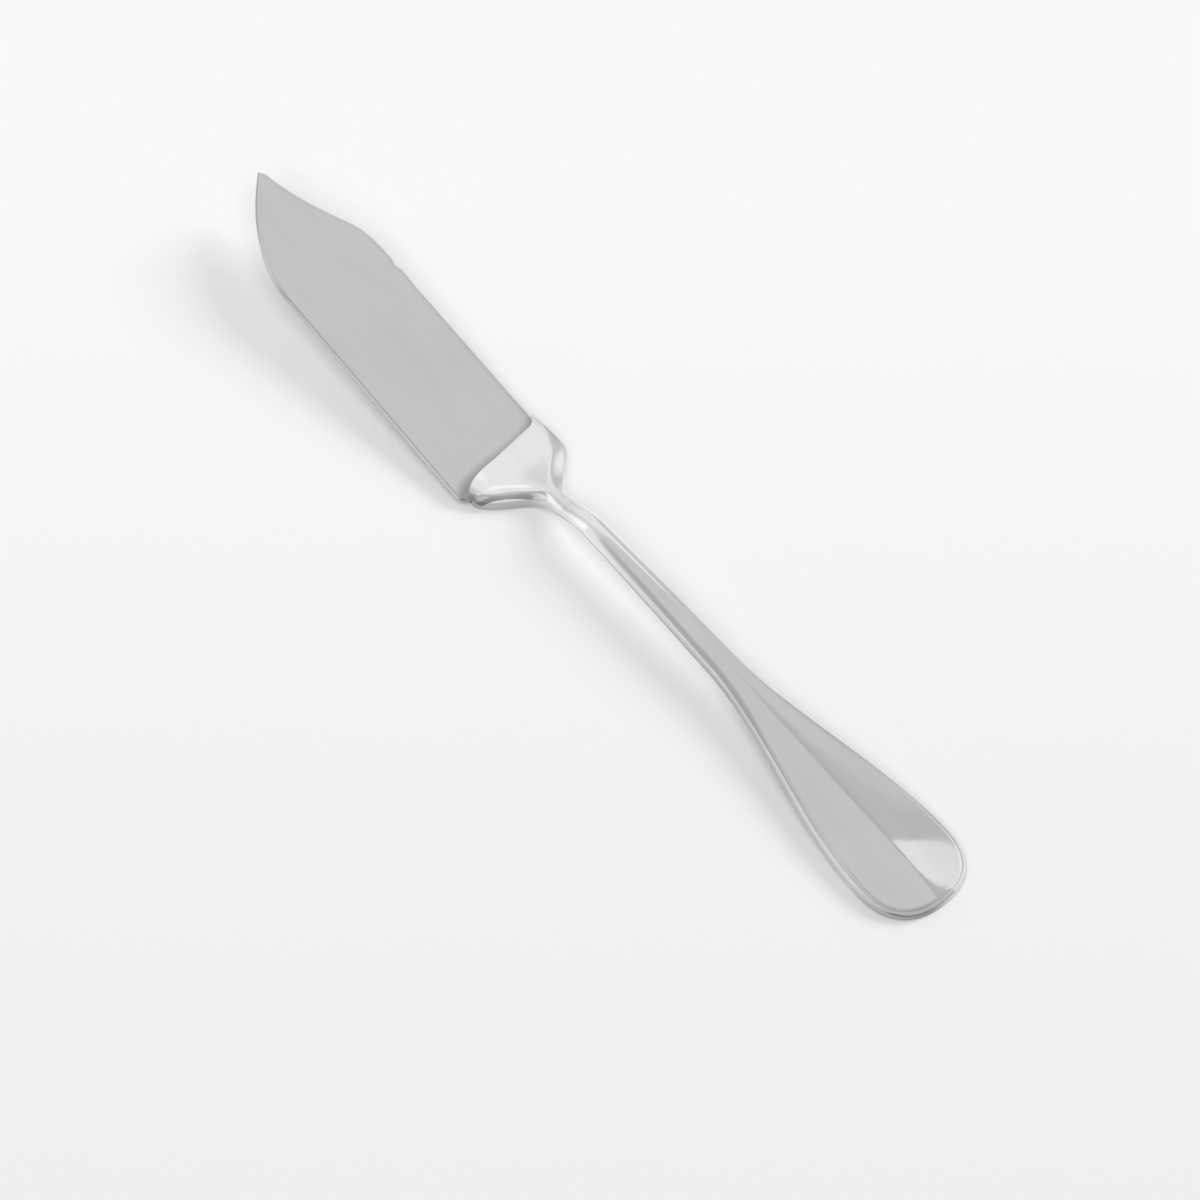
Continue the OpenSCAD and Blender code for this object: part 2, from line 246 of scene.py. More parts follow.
# Table: half its width, its gap below the knife, its white, how a painted fall of light changes it for each
# metre along X and Y, its limits, how dull it is, and the tone of the backdrop beside it, which carries the
# same painted fall of light
FLOOR_HALF = 3000
FLOOR_GAP = 0.02
FLOOR_WHITE = 0.883
FLOOR_PAINTED_LIGHT_X = 0.31
FLOOR_PAINTED_LIGHT_Y = -0.25
FLOOR_WHITE_RANGE = (0.86, 0.945)
FLOOR_ROUGHNESS = 0.9
FLOOR_SHINE = 0.1
BACKDROP_SHARE = 0.985

# The room that the metal mirrors: its plain brightness, and what each panel adds to it
ROOM = 0.594
WALL_AHEAD = 0.24
WHITE_CORNER = 0.22
DIM_STRIP = -0.13
WINDOW = 0.21
WINDOW_FRAME = -0.07
WINDOW_SILL = -0.05
LAMP = 0.18
DUSK = -0.1
NEAR_DIM = -0.13
NEAR_PALE = 0.28
# The brightness of what stands behind, on the far side and low down, which covers the panels
DIM_BACK = 0.5
DARK_BACK = 0.34
FAR_SIDE = 0.92
FAR_AHEAD = 0.58
HORIZON = 0.76
# Where the panels fade in, as spans of the mirrored direction's X, Y and Z
WALL_AHEAD_X = (0.44, 0.465)
WHITE_CORNER_X = (0.52, 0.6)
WHITE_CORNER_Y = (0.33, 0.55)
STRIP_START_Y = (-0.05, 0.15)
STRIP_END_Y = (0.3, 0.45)
WINDOW_X = (0.154, 0.162)
WINDOW_Y = (-0.43, -0.42)
FRAME_X = (0.25, 0.3)
FRAME_Y = (-0.375, -0.35)
SILL_Y = (-0.48, -0.45)
NEAR_DIM_START_Y = (0.22, 0.4)
NEAR_DIM_END_Y = (0.55, 0.7)
NEAR_PALE_X = (-0.5, 0.3)
NEAR_PALE_Y = (0.7, 0.85)
BACK_X = (-0.55, -0.3)
BACK_Y = (-0.43, -0.36)
DARK_BACK_Y = (0.35, 0.7)
FAR_SIDE_Y = (-0.78, -0.66)
FAR_AHEAD_X = (0.05, 0.35)
HORIZON_Z = (0.1, 0.3)
# Slants of the panels' borders: of the wall ahead on the far side and past its corner, of the window's
# two borders, and where the corners are
WALL_LEAN = 0.055
WALL_CORNER_Y = -0.45
WALL_CORNER_LEAN = 0.3
WALL_CORNER_L = 0.15
WINDOW_CORNER_Y = -0.5
WINDOW_CORNER_LEAN = 0.3
WINDOW_CORNER_L = 0.2
WINDOW_SLANT = 0.2
# Direction, and the inner and outer angle in degrees
LAMP_SPOT = ((0.597, -0.233, 0.768), 1.2, 2.9)
DUSK_SPOT = ((0.68, -0.335, 0.65), 1, 5)


def ease(t):
    """A smooth step: 3t squared less 2t cubed, with t held between 0 and 1."""
    c = np.clip(t, 0, 1)
    return c * c * (3 - 2 * c)


def between(t, span):
    """An eased rise from 0 at the start of a span to 1 at its end."""
    return ease((t - span[0]) / (span[1] - span[0]))


def fade(distance, reach):
    """1 at no distance, falling evenly to 0 at the reach and staying there."""
    return np.clip(1 - distance / reach, 0, 1)


def mix(a, b, t):
    """From a at t = 0 to b at t = 1, evenly. It works on numbers, arrays and shader values."""
    return a + (b - a) * t


# Shape of the handle

def handle_half(s):
    """Half width along the handle: a blunt ellipse, an eased taper to the waist, then a straight stem."""
    end = END_W / 2 * (1 - fade(s, END_ROUND_L) ** END_POWER) ** (1 / END_POWER)
    taper = mix(END_W, WAIST_W, between(s, (END_ROUND_L, WAIST_S))) / 2
    stem = mix(WAIST_W, NECK_W, (s - WAIST_S) / (HANDLE_L - WAIST_S)) / 2
    return np.where(s < END_ROUND_L, end, np.where(s < WAIST_S, taper, stem))


def arch(s, start_s):
    """Height of the arch from its start up to the crest, partly eased, and eased down to the foot."""
    c = np.clip((s - start_s) / (CREST_S - start_s), 0, 1)
    up = ARCH_RISE * mix(ease(c), c * (2 - c), ARCH_START_SHARE)
    down = ARCH_RISE * (1 - between(s, (CREST_S, FOOT_S)))
    return np.where(s < CREST_S, up, down)


def roundness(s):
    """0 at the flat end of the handle and 1 on the round stem, eased."""
    return between(s, (REST_END_S, WAIST_S))


def lift_share(q, b):
    """Lift of the underside at the share q of the half width: flat in the middle at b = 0, round at 1."""
    flat = np.clip((np.abs(q) - FLAT_SHARE) / (1 - FLAT_SHARE), 0, 1) ** 2
    return mix(flat, np.abs(q) ** ROUND_POWER, b)


def handle_top(s, q):
    """Rim height plus a crown that falls as a power of the share q of the half width."""
    b = roundness(s)
    rim = mix(UNDER_END_H, UNDER_NECK_H, b) + mix(RIM_END_H, RIM_NECK_H, b)
    crown = mix(CROWN_END_H, CROWN_NECK_H, b) * (1 - fade(s, CROWN_L) ** END_FALL_POWER)
    scoop = END_SCOOP_H * (1 - between(s, END_SCOOP_S))
    return arch(s, 0) + rim - scoop + crown * (1 - np.abs(q) ** mix(RIDGE_POWER, ROUND_POWER, b))


def handle_bottom(s, q):
    """The arch, which starts past the rest flat, plus the lift of the underside towards its sides."""
    b = roundness(s)
    return arch(s, REST_END_S) + mix(UNDER_END_H, UNDER_NECK_H, b) * lift_share(q, b)


NECK_TOP_Z = float(handle_top(JOINT_S, 0))
COLLAR_W = NECK_W + 2 * COLLAR_STEP


def rounded(inset, reach, drop):
    """Drop of a quarter ellipse edge at a distance inset from the outline."""
    return drop * (1 - np.sqrt(1 - fade(inset, reach) ** 2))


def in_groove(inset, half_w):
    """1 in the middle of the groove, falling as a parabola to 0 at the half width."""
    return np.clip(1 - ((inset - BAND_W) / half_w) ** 2, 0, 1)


def rim_drop(s, inset):
    """Drop of the handle's top inside its outline: a sloping band, a groove along it, a rounded edge."""
    band = BAND_DROP * fade(inset, BAND_W) ** BAND_POWER * (1 - between(s, BAND_FADE_S))
    groove = GROOVE_DROP * in_groove(inset, GROOVE_W) ** 2 * (1 - between(s, GROOVE_FADE_S))
    return band + groove + rounded(inset, EDGE_REACH, EDGE_DROP)


def on_wall(inset, reach):
    """0 on the flat of a top and 1 on its wall, with an eased step in the steep part of the rounded edge."""
    return between(1 - inset / reach, (WALL_START_SHARE, WALL_START_SHARE + WALL_FADE_SHARE))


def edge_insets(reach, steps):
    """Insets from reach to nothing, evenly spaced round the quarter ellipse."""
    return reach * (1 - np.sin(np.linspace(0, np.pi / 2, steps)))


# Making meshes

def new_piece(name, vertices, faces, replaced, painted_shade_and_patina):
    """A closed mesh piece from points in millimetres, with doubles merged and faces outwards.

    Its painted shade, with patina in the handle's groove, is kept at each point. It rides with the knife and
    stands for a node of the solids.
    """
    mesh = bpy.data.meshes.new(name)
    mesh.from_pydata(np.asarray(vertices, float) * MM, [], faces)
    # Painted shade: a share of brightness taken off the colour where the metal should mirror shadow and shade
    dark = mesh.attributes.new("painted_shade_and_patina", "FLOAT", "POINT")
    dark.data.foreach_set("value", painted_shade_and_patina.astype(np.float32).ravel())
    shape = bmesh.new()
    shape.from_mesh(mesh)
    bmesh.ops.remove_doubles(shape, verts=shape.verts, dist=MERGE_GAP * MM)
    bmesh.ops.dissolve_degenerate(shape, edges=shape.edges, dist=MERGE_GAP * MM)
    bmesh.ops.recalc_face_normals(shape, faces=shape.faces)
    shape.to_mesh(mesh)
    shape.free()
    piece = bpy.data.objects.new(name, mesh)
    bpy.context.scene.collection.objects.link(piece)
    smooth_but_sharp(mesh)
    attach(piece, "root")
    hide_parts(replaced)
    return piece


def smooth_but_sharp(mesh):
    """Smooth shading, with the edges that turn by more than the sharp angle left sharp."""
    mesh.shade_smooth()
    mesh.set_sharp_from_angle(angle=SHARP_ANGLE)


def grid_faces(rows, cols, closed):
    """Quads between rows of cols points. On a closed grid the last column joins the first one."""
    i, j = np.meshgrid(np.arange(rows - 1), np.arange(cols if closed else cols - 1), indexing="ij")
    k = (j + 1) % cols
    quads = np.stack([i * cols + j, i * cols + k, (i + 1) * cols + k, (i + 1) * cols + j], -1)
    return [tuple(quad) for quad in quads.reshape(-1, 4).tolist()]


def ringed(top, under):
    """Rings that run over the top and come back below."""
    return np.concatenate([top, under[:, ::-1]], 1)


def ring_faces(rows, cols):
    """Quads of a tube with rows rings of cols points, and the two rings that close its ends."""
    first = tuple(range(cols))
    last = tuple(reversed(range((rows - 1) * cols, rows * cols)))
    return grid_faces(rows, cols, closed=True) + [first, last]


# Making the handle

def handle_outline():
    """The outline's belly half: the quarter of a blunt ellipse round the end, then the side to the neck."""
    end_rows, side_rows = 90, 300
    angle = np.linspace(0, np.pi / 2, end_rows)
    end_s = END_ROUND_L * (1 - np.cos(angle) ** (2 / END_POWER))
    end_y = END_W / 2 * np.sin(angle) ** (2 / END_POWER)
    side_s = np.linspace(END_ROUND_L, HANDLE_L, side_rows)[1:]
    s = np.concatenate([end_s, side_s])
    y = np.concatenate([end_y, handle_half(side_s)])
    return s[:, None], y[:, None]


def handle_insets(length):
    """How far inside the outline the points of each profile are, on the top and on the underside.

    They are evenly spaced in from the groove to the middle line, which is the length away, finer over
    the band, and drawn together round the rounded edges.
    """
    inward_cols, band_cols, edge_cols, under_edge_cols = 26, 16, 9, 8
    inward = np.linspace(1, 0, inward_cols)[None]
    band_inset = np.linspace(BAND_W + GROOVE_W, EDGE_REACH, band_cols)[None, 1:-1]
    top_inset = np.hstack([
        mix(BAND_W + GROOVE_W, length, inward),
        band_inset + 0 * length,
        edge_insets(EDGE_REACH + 0 * length, edge_cols),
    ])
    under_inset = np.hstack([
        edge_insets(UNDER_EDGE_REACH + 0 * length, under_edge_cols)[:, ::-1],
        UNDER_EDGE_REACH + (length - UNDER_EDGE_REACH) * inward[:, ::-1][:, 1:],
    ])
    return top_inset, under_inset


def both_halves(top, under, mirror=1):
    """The belly half's top and underside. The spine half goes before it: the same turned round, times the
    mirror.
    """
    half = np.concatenate([top, under], 1)
    return np.concatenate([half[::-1] * mirror, half[1:]], 0)


def handle_painted_shade_and_patina(s, y, top_inset, under_inset):
    """Painted shade, and patina in the groove, at each point: the most of the wall, groove, band and joint.
    """
    to_belly = between(y, PAINTED_SHADE_FADE_Y)
    wall = both_halves(on_wall(top_inset, EDGE_REACH), 1 - ease(under_inset / UNDER_EDGE_REACH))
    groove = both_halves(in_groove(top_inset, GROOVE_PATINA_AND_PAINTED_SHADE_W), 0 * under_inset)
    band = both_halves(np.clip((BAND_W + GROOVE_W - top_inset) / GROOVE_W, 0, 1), 0 * under_inset)
    groove_sides = np.maximum(to_belly, between(s, GROOVE_BOTH_SIDES_S))
    return np.maximum.reduce([
        wall * np.interp(s, *zip(*WALL_PAINTED_SHADE)) * mix(SPINE_PAINTED_SHADE_SHARE, 1, to_belly),
        groove * np.interp(s, *zip(*GROOVE_PATINA_AND_PAINTED_SHADE)) * groove_sides,
        band * np.interp(s, *zip(*BAND_PAINTED_SHADE)) * to_belly,
        JOINT_PAINTED_SHADE * fade(HANDLE_L - s, JOINT_PAINTED_SHADE_BACK),
    ])


def handle():
    """The handle is a profile carried round its outline, from the neck round the end and back.

    Each profile runs along a line from the outline to the middle line. Beside the rounded end these lines
    fan out from one point. A profile goes from the middle of the top out to the rounded edge, down the
    rim and back in under the handle.
    """
    s, y = handle_outline()
    middle_s = np.maximum(s, END_ROUND_L)
    length = np.hypot(s - middle_s, y)
    top_inset, under_inset = handle_insets(length)

    def place(inset):
        """The point at a distance inset from the outline, and its share q of the way out to it."""
        q = 1 - inset / length
        return middle_s + (s - middle_s) * q, y * q, q

    at_s, at_y, _ = place(top_inset)
    across = np.clip(at_y / np.maximum(handle_half(at_s), EDGE_REACH), 0, 1)
    top = np.stack([at_s - END_REACH, at_y, handle_top(at_s, across) - rim_drop(at_s, top_inset)], -1)
    at_s, at_y, q = place(under_inset)
    under_z = handle_bottom(at_s, q) + rounded(under_inset, UNDER_EDGE_REACH, UNDER_EDGE_DROP)
    under = np.stack([at_s - END_REACH, at_y, under_z], -1)
    profile = both_halves(top, under, mirror=(1, -1, 1))
    # Painted shade for each point, with patina in the groove
    painted_shade_and_patina = handle_painted_shade_and_patina(profile[..., 0] + END_REACH, profile[..., 1], top_inset, under_inset)

    rows, cols = profile.shape[:2]
    last = (rows - 1) * cols
    neck_face = tuple(range(cols)) + tuple(last + j for j in range(cols - 2, 0, -1))
    faces = grid_faces(rows, cols, closed=False) + [neck_face]
    return new_piece("handle_silver", profile.reshape(-1, 3), faces, "handle", painted_shade_and_patina)


# Shape of the shoulder

def blade_bottom(s):
    """Underside of the tilted blade: a straight line up from the heel."""
    return LIP_UNDER_H + (s - HEEL_S) * np.tan(BLADE_TILT)


def blade_top(s):
    """Top of the tilted blade: its underside plus the thickness, measured upright."""
    return blade_bottom(s) + BLADE_T / np.cos(BLADE_TILT)


def flare(s, start_share):
    """Share of the way from the collar's width out to the full width: an eased rise to a power."""
    span = JOINT_S + start_share * SHOULDER_L, JOINT_S + FLARE_END_SHARE * SHOULDER_L
    return between(s, span) ** FLARE_POWER


def spine_side(s):
    """Half width on the spine side: the flare, drawn in a little along the lips."""
    drawn_in = mix(1, SEAM_REACH_SHARE, between(s, (HEEL_S, HEEL_S + LIP_L + SEAM_HOOK_L)))
    return mix(COLLAR_W / 2, SHOULDER_SPINE_W, flare(s, SPINE_FLARE_SHARE)) * drawn_in


def belly_side(s):
    """Half width on the belly side: the flare."""
    return mix(COLLAR_W / 2, SHOULDER_BELLY_W, flare(s, BELLY_FLARE_SHARE))


def seam_s(v):
    """Where the lips end at the share v across: a slanted line whose two ends hook round."""
    return HEEL_S + LIP_L - SEAM_HOOK_L * (SEAM_SLANT_SHARE * v + (1 - SEAM_SLANT_SHARE) * v ** SEAM_POWER)


def fall(s):
    """0 at the collar and 1 just before the heel, eased."""
    return between(s, (JOINT_S, HEEL_S - BLADE_T))


def settle(t):
    """Share of the way from the collar down to the seam: a cubic, steep first, still sloping at the seam."""
    return TOP_START_SHARE * t * (1 - t) ** 2 + t * t * (3 - 2 * t) - TOP_END_SHARE * t * t * (1 - t)


def shoulder_top(s, v):
    """Falls from the collar to just over the blade at the seam, domed across and rounded at the sides."""
    seam = seam_s(v)
    down = settle((s - JOINT_S) / (seam - JOINT_S))
    middle = mix(NECK_TOP_Z + COLLAR_STEP, blade_top(seam) + LIP_H, down)
    side = np.where(v < 0, spine_side(s), belly_side(s))
    drop = fall(s) * mix(SIDE_ROUND_H, SEAM_ROUND_H, between(s, (FOOT_S, seam)))
    round_w = np.where(v < 0, SPINE_ROUND_W, SIDE_ROUND_W)
    edge = drop * fade(side * (1 - np.abs(v)), round_w) ** SIDE_POWER
    return middle - mix(CROWN_NECK_H, LIP_DOME_SHARE * LIP_H, fall(s)) * np.abs(v) ** ROUND_POWER - edge


def shoulder_bottom(s, v):
    """Comes down from the collar to a flat foot on the table, then rises under the blade."""
    foot_fall = between(s, (JOINT_S, FOOT_S))
    base = np.maximum(0, arch(s, 0) - COLLAR_STEP * (1 - foot_fall))
    under_lip = np.maximum(0, s - HEEL_S) * np.tan(BLADE_TILT)
    lift = mix(UNDER_NECK_H, LIP_LIFT_SHARE * LIP_UNDER_H, foot_fall)
    return base + under_lip + lift * lift_share(v, 1 - foot_fall)


def shoulder_painted_shade(s, v, side_inset):
    """Painted shade on the walls' upper and lower part and round their foot, or what the neck joint gives."""
    upper_wall = SIDE_PAINTED_SHADE * on_wall(side_inset, SIDE_ROUND_W)
    lower_wall = FOOT_PAINTED_SHADE * on_wall(side_inset, FOOT_PAINTED_SHADE_W)
    under_wall = FOOT_PAINTED_SHADE * (1 - ease(side_inset / SIDE_UNDER_REACH))
    amount = between(s, SHOULDER_PAINTED_SHADE_S) * np.where(v < 0, SPINE_PAINTED_SHADE_SHARE, 1)
    by_joint = JOINT_PAINTED_SHADE * fade(s - JOINT_S, JOINT_PAINTED_SHADE_L)
    return ringed(np.maximum(by_joint, amount * np.maximum(upper_wall, lower_wall)), amount * under_wall)


def shoulder():
    """The shoulder is a ring of points carried from the collar to the curved seam, with a slot for the blade.

    A ring runs over the top from the spine side to the belly side and back below. Its sides and the lips
    at the seam are rounded by quarter ellipses.
    """
    rows, seam_rows, side_cols, middle_cols = 130, 40, 16, 70
    to_seam = np.sin(np.linspace(0, np.pi / 2, seam_rows)[1:])
    t = np.concatenate([np.linspace(0, SEAM_GRID_START_SHARE, rows), mix(SEAM_GRID_START_SHARE, 1, to_seam)])
    side_steps = edge_insets(SIDE_GRID_SHARE, side_cols)
    over = np.concatenate([
        side_steps[::-1] - 1,
        np.linspace(SIDE_GRID_SHARE - 1, 1 - SIDE_GRID_SHARE, middle_cols)[1:-1],
        1 - side_steps,
    ])
    along, across = np.meshgrid(t, over, indexing="ij")
    s = mix(JOINT_S + NECK_GAP, seam_s(across), along)
    side = np.where(across < 0, spine_side(s), belly_side(s))
    y = across * side
    side_inset = side * (1 - np.abs(across))
    at_lip = rounded(seam_s(across) - s, LIP_REACH, LIP_DROP)
    at_side = rounded(side_inset, EDGE_REACH, EDGE_DROP) * (1 - fall(s))
    under_side = rounded(side_inset, SIDE_UNDER_REACH, SIDE_UNDER_DROP)
    top = np.stack([s - END_REACH, y, shoulder_top(s, across) - at_lip - at_side], -1)
    under = np.stack([s - END_REACH, y, shoulder_bottom(s, across) + at_lip + under_side], -1)
    ring = ringed(top, under)
    # The shoulder's painted shade goes with its points
    piece = new_piece("shoulder_silver", ring.reshape(-1, 3), ring_faces(*ring.shape[:2]),
                      "shoulder", shoulder_painted_shade(s, across, side_inset))
    cut_slot(piece)
    return piece


def on_blade_plane(points):
    """Turns points drawn in the blade's own plane, heel line at X = 0, to where the blade lies."""
    x, y, z = points[..., 0], points[..., 1], points[..., 2]
    cos, sin = np.cos(BLADE_TILT), np.sin(BLADE_TILT)
    return np.stack([
        HEEL_S - END_REACH + x * cos - z * sin,
        y,
        LIP_UNDER_H + x * sin + z * cos,
    ], -1)


def box_points(low, high):
    """The eight corners between the lowest and the highest one."""
    corners = np.array([[x, y, z] for x in (0, 1) for y in (0, 1) for z in (0, 1)])
    return np.array(low) + corners * (np.array(high) - np.array(low))


def cut_slot(piece):
    """Cuts the slot that the blade and its tongue sit in out of the shoulder."""
    reach = 2 * (LIP_L + SEAM_HOOK_L)
    cuts = [
        ((-SOLDER_T, -2 * SPINE_W, -SOLDER_T), (reach, 2 * BELLY_W, BLADE_T + SOLDER_T)),
        ((-TONGUE_L - SOLDER_T, -TONGUE_W / 2 - SOLDER_T, -SOLDER_T),
         (SOLDER_T, TONGUE_W / 2 + SOLDER_T, BLADE_T + SOLDER_T)),
    ]
    faces = [(0, 1, 3, 2), (4, 6, 7, 5), (0, 4, 5, 1), (2, 3, 7, 6), (0, 2, 6, 4), (1, 5, 7, 3)]
    for low, high in cuts:
        mesh = bpy.data.meshes.new("slot_cutter")
        mesh.from_pydata(on_blade_plane(box_points(low, high)) * MM, [], faces)
        cutter = bpy.data.objects.new("slot_cutter", mesh)
        bpy.context.scene.collection.objects.link(cutter)
        cut = piece.modifiers.new("slot", "BOOLEAN")
        cut.operation = "DIFFERENCE"
        cut.solver = "EXACT"
        cut.object = cutter
        graph = bpy.context.evaluated_depsgraph_get()
        shaped = bpy.data.meshes.new_from_object(piece.evaluated_get(graph))
        piece.modifiers.clear()
        piece.data = shaped
        bpy.data.objects.remove(cutter)
        bpy.data.meshes.remove(mesh)
    smooth_but_sharp(piece.data)


# Shape of the blade

def smooth_curve(points, steps):
    """A curve through points, each stretch a cubic whose slopes follow the neighbouring points."""
    p = np.array(points, float)
    before = np.vstack([p[:1], p[:-2]])
    after = np.vstack([p[2:], p[-1:]])
    a, b, c, d = before[:, None], p[:-1, None], p[1:, None], after[:, None]
    t = np.linspace(0, 1, steps, endpoint=False)[None, :, None]
    squared = (2 * a - 5 * b + 4 * c - d) * t ** 2
    cubed = (3 * b - a - 3 * c + d) * t ** 3
    curve = (2 * b + (c - a) * t + squared + cubed) / 2
    return np.vstack([curve.reshape(-1, 2), p[-1:]])


def blade_edges(x):
    """Where the spine and the belly run at the distance x from the heel.

    The spine is straight up to the notch, then a curve through points to the tip. The belly is straight,
    rounded by a quarter ellipse at the heel, and drawn to the tip by a power of the way along the point.
    """
    curve_steps = 24
    point_x = BLADE_L - POINT_L
    notch_x = point_x - NOTCH_BACK_L
    notch = [(notch_x + a * NOTCH_L, -SPINE_W + b * NOTCH_H) for a, b in NOTCH_SHARES]
    front = [(point_x + a * POINT_L, -SPINE_W * b) for a, b in SPINE_FRONT_SHARES]
    curve = smooth_curve(notch + front + [(BLADE_L, TIP_Y)], curve_steps)
    spine = np.interp(x, np.concatenate([[0, notch_x - 2 * NOTCH_L], curve[:, 0]]),
                      np.concatenate([[-SPINE_W, -SPINE_W], curve[:, 1]]))
    along_point = np.clip((x - point_x) / POINT_L, 0, 1)
    belly = mix(BELLY_W, TIP_Y, along_point ** BELLY_POWER) - rounded(x, HEEL_R, HEEL_R)
    return spine, belly


def blade_painted_shade(x, y, inset):
    """Painted shade: the most of what the seam, the two edges and the ground bevel give at each point."""
    from_seam = np.maximum(0, x + HEEL_S - seam_s(np.where(y < 0, y / SPINE_W, y / BELLY_W)))
    corner = CORNER_PAINTED_SHADE * fade(from_seam, CORNER_PAINTED_SHADE_L)
    edge = np.where(y < 0, SPINE_EDGE_PAINTED_SHADE + corner, BELLY_EDGE_PAINTED_SHADE)
    bevel = mix(BEVEL_PAINTED_SHADE, TIP_PAINTED_SHADE, between(x, TIP_PAINTED_SHADE_X)) * (y > 0)
    return np.maximum.reduce([
        SEAM_PAINTED_SHADE * fade(from_seam, SEAM_PAINTED_SHADE_W),
        edge * fade(inset, EDGE_PAINTED_SHADE_W),
        bevel * np.sqrt(fade(inset, BEVEL_W)),
    ])


def blade():
    """The blade is a thin plate drawn across from spine to belly at stations along its length.

    Towards its outline the thickness falls as a parabola from the full thickness to that of the edge. The
    bevel is measured square to the outline, so it takes more of the width where the outline slants.
    """
    heel_rows, rows, tip_rows, bevel_cols, middle_cols = 24, 420, 20, 9, 44
    tip_l, tip_reach, steepest = 1, 0.995, 3
    x = np.concatenate([
        HEEL_R * (1 - np.cos(np.linspace(0, np.pi / 2, heel_rows)))[:-1],
        np.linspace(HEEL_R, BLADE_L - tip_l, rows)[:-1],
        BLADE_L - tip_l + np.sin(np.linspace(0, np.pi / 2, tip_rows)) * tip_reach,
    ])[:, None]
    spine, belly = blade_edges(x)
    width = belly - spine
    run = np.gradient(x[:, 0])[:, None]
    spine_turn = np.hypot(1, np.gradient(spine[:, 0])[:, None] / run)
    belly_turn = np.hypot(1, np.clip(np.gradient(belly[:, 0])[:, None] / run, -steepest, steepest))
    bevel = np.linspace(0, 1, bevel_cols)[None]
    spine_bevel = np.minimum(BEVEL_W * spine_turn, width / 2)
    belly_bevel = np.minimum(BEVEL_W * belly_turn, width / 2)
    middle = np.linspace(0, 1, middle_cols)[None, 1:-1]
    y = np.hstack([
        spine + spine_bevel * bevel,
        mix(spine + spine_bevel, belly - belly_bevel, middle),
        belly - belly_bevel * bevel[:, ::-1],
    ])
    inset = np.minimum((y - spine) / spine_turn, (belly - y) / belly_turn)
    thin = (BLADE_T - EDGE_T) / 2 * fade(inset, BEVEL_W) ** 2
    top = np.stack([x + 0 * y, y, BLADE_T - thin], -1)
    under = np.stack([x + 0 * y, y, thin], -1)
    ring = on_blade_plane(ringed(top, under))
    # Painted shade for each point
    painted_shade_and_patina = blade_painted_shade(x, y, inset)
    return new_piece("blade_silver", ring.reshape(-1, 3), ring_faces(*ring.shape[:2]),
                     "blade", ringed(painted_shade_and_patina, painted_shade_and_patina))


# Shader maths: Num wraps a socket, so that sums on it become Math nodes

class Num:
    """A number that varies over a surface."""

    def __init__(self, sheet, socket):
        self.sheet = sheet
        self.socket = socket

    def _math(self, operation, *values):
        """A Math node on the values."""
        return self.sheet.num("ShaderNodeMath", {"operation": operation}, values)

    def __add__(self, other):
        return self._math("ADD", self, other)

    __radd__ = __add__

    def __sub__(self, other):
        return self._math("SUBTRACT", self, other)

    def __rsub__(self, other):
        return self._math("SUBTRACT", other, self)

    def __mul__(self, other):
        return self._math("MULTIPLY", self, other)

    __rmul__ = __mul__

    def held(self, low, high):
        """The value, kept between low and high."""
        return self.sheet.num("ShaderNodeClamp", {}, [self, float(low), float(high)])

    def step(self, low, high):
        """0 below low and 1 above high, with a smooth rise between."""
        return self.sheet.num("ShaderNodeMapRange", {"interpolation_type": "SMOOTHSTEP"},
                              [self, low, high, 0.0, 1.0])


class Sheet:
    """The nodes of one material or of the world."""

    def __init__(self, tree):
        self.tree = tree
        tree.nodes.clear()

    def node(self, kind, settings, values):
        """A node of a type, with its settings made first and then its sockets' values or links."""
        made = self.tree.nodes.new(kind)
        for name, value in settings.items():
            setattr(made, name, value)
        pairs = values.items() if isinstance(values, dict) else enumerate(values)
        for key, value in pairs:
            target = made.inputs[key]
            if isinstance(value, Num):
                value = value.socket
            if isinstance(value, bpy.types.NodeSocket):
                self.tree.links.new(value, target)
            else:
                target.default_value = value
        return made

    def num(self, kind, settings, values, output=0):
        """A node whose output is a number."""
        return Num(self, self.node(kind, settings, values).outputs[output])

    def noise(self, place, scale, layers):
        """Soft noise between 0 and 1, with a number of finer and weaker layers in it."""
        return self.num("ShaderNodeTexNoise", {"noise_dimensions": "3D"},
                        {"Vector": place, "Scale": scale, "Detail": layers, "Roughness": LAYER_SHARE})

    def streaks(self, place, turn, scale, layers):
        """Noise on places that are turned about Z and squeezed, so that its patches are long."""
        squeezed = self.node("ShaderNodeMapping", {},
                             {"Vector": place, "Rotation": (0, 0, turn), "Scale": scale})
        return self.noise(squeezed.outputs[0], 1, layers)

    def grey(self, value):
        """A grey colour of a number that varies."""
        return self.node("ShaderNodeCombineXYZ", {}, [value, value, value]).outputs[0]

    def grey_mix(self, factor, first, second):
        """From the first grey at factor 0 to the second one at 1, on the colour sockets of a Mix node."""
        first_socket, second_socket, result = 6, 7, 2
        greys = {first_socket: (first, first, first, 1), second_socket: (second, second, second, 1)}
        mixed = self.node("ShaderNodeMix", {"data_type": "RGBA"}, {"Factor": factor, **greys})
        return mixed.outputs[result]

    def bump(self, height, depth, strength, **below):
        """Raises the surface by a height pattern, over the bump below it where there is one."""
        values = {"Strength": strength, "Distance": depth, "Height": height, **below}
        return self.node("ShaderNodeBump", {}, values).outputs[0]


def material_sheet(name):
    """An empty material, the sheet of its nodes, and the place on the piece."""
    material = bpy.data.materials.new(name)
    material.use_nodes = True
    sheet = Sheet(material.node_tree)
    return material, sheet, sheet.node("ShaderNodeTexCoord", {}, {}).outputs["Object"]


